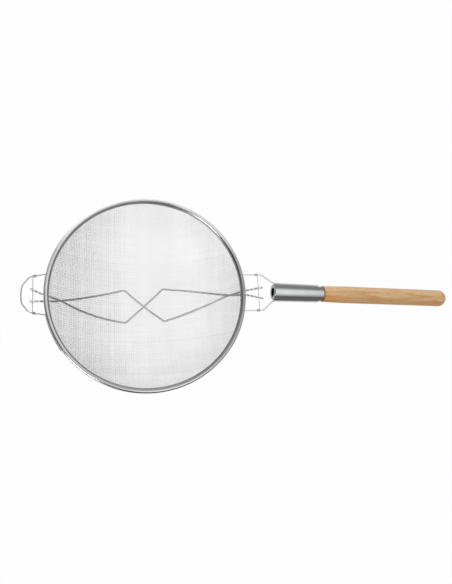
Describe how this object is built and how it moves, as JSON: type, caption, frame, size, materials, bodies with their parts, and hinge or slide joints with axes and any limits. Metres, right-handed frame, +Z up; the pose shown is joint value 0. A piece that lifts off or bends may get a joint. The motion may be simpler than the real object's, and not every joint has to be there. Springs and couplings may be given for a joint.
{
  "type": "double mesh sieve",
  "caption": "Bowl sieve of fine mesh carried by coarse mesh, with a rolled metal rim, a wire pot hook, crossed brace wires, a wire fork, a metal ferrule and a round wooden handle.",
  "frame": {"origin": "on the table, under the middle of the whole sieve as it rests bowl down on its brace wires and the handle's end", "axes": "+X from the bowl along the handle, +Y across the sieve, +Z up; the rim leans a few degrees down towards the handle"},
  "size_m": [0.5872, 0.26, 0.1095],
  "materials": {
    "band": "bright tinned sheet steel",
    "wire": "bright drawn wire",
    "mesh": "bright woven wire cloth",
    "tube": "bright drawn tube",
    "wood": "plain turned hardwood"
  },
  "bodies": {
    "root": {"rim_band": "band", "rim_hoop_wire": "wire", "inner_mesh": "mesh", "outer_mesh": "mesh", "brace_wire_a": "wire", "brace_wire_b": "wire", "hook_wire": "wire", "hook_cross_wire": "wire", "fork_wire_back": "wire", "fork_wire_front": "wire", "fork_cross_wire": "wire", "ferrule": "tube", "handle": "wood"}
  },
  "joints": []
}
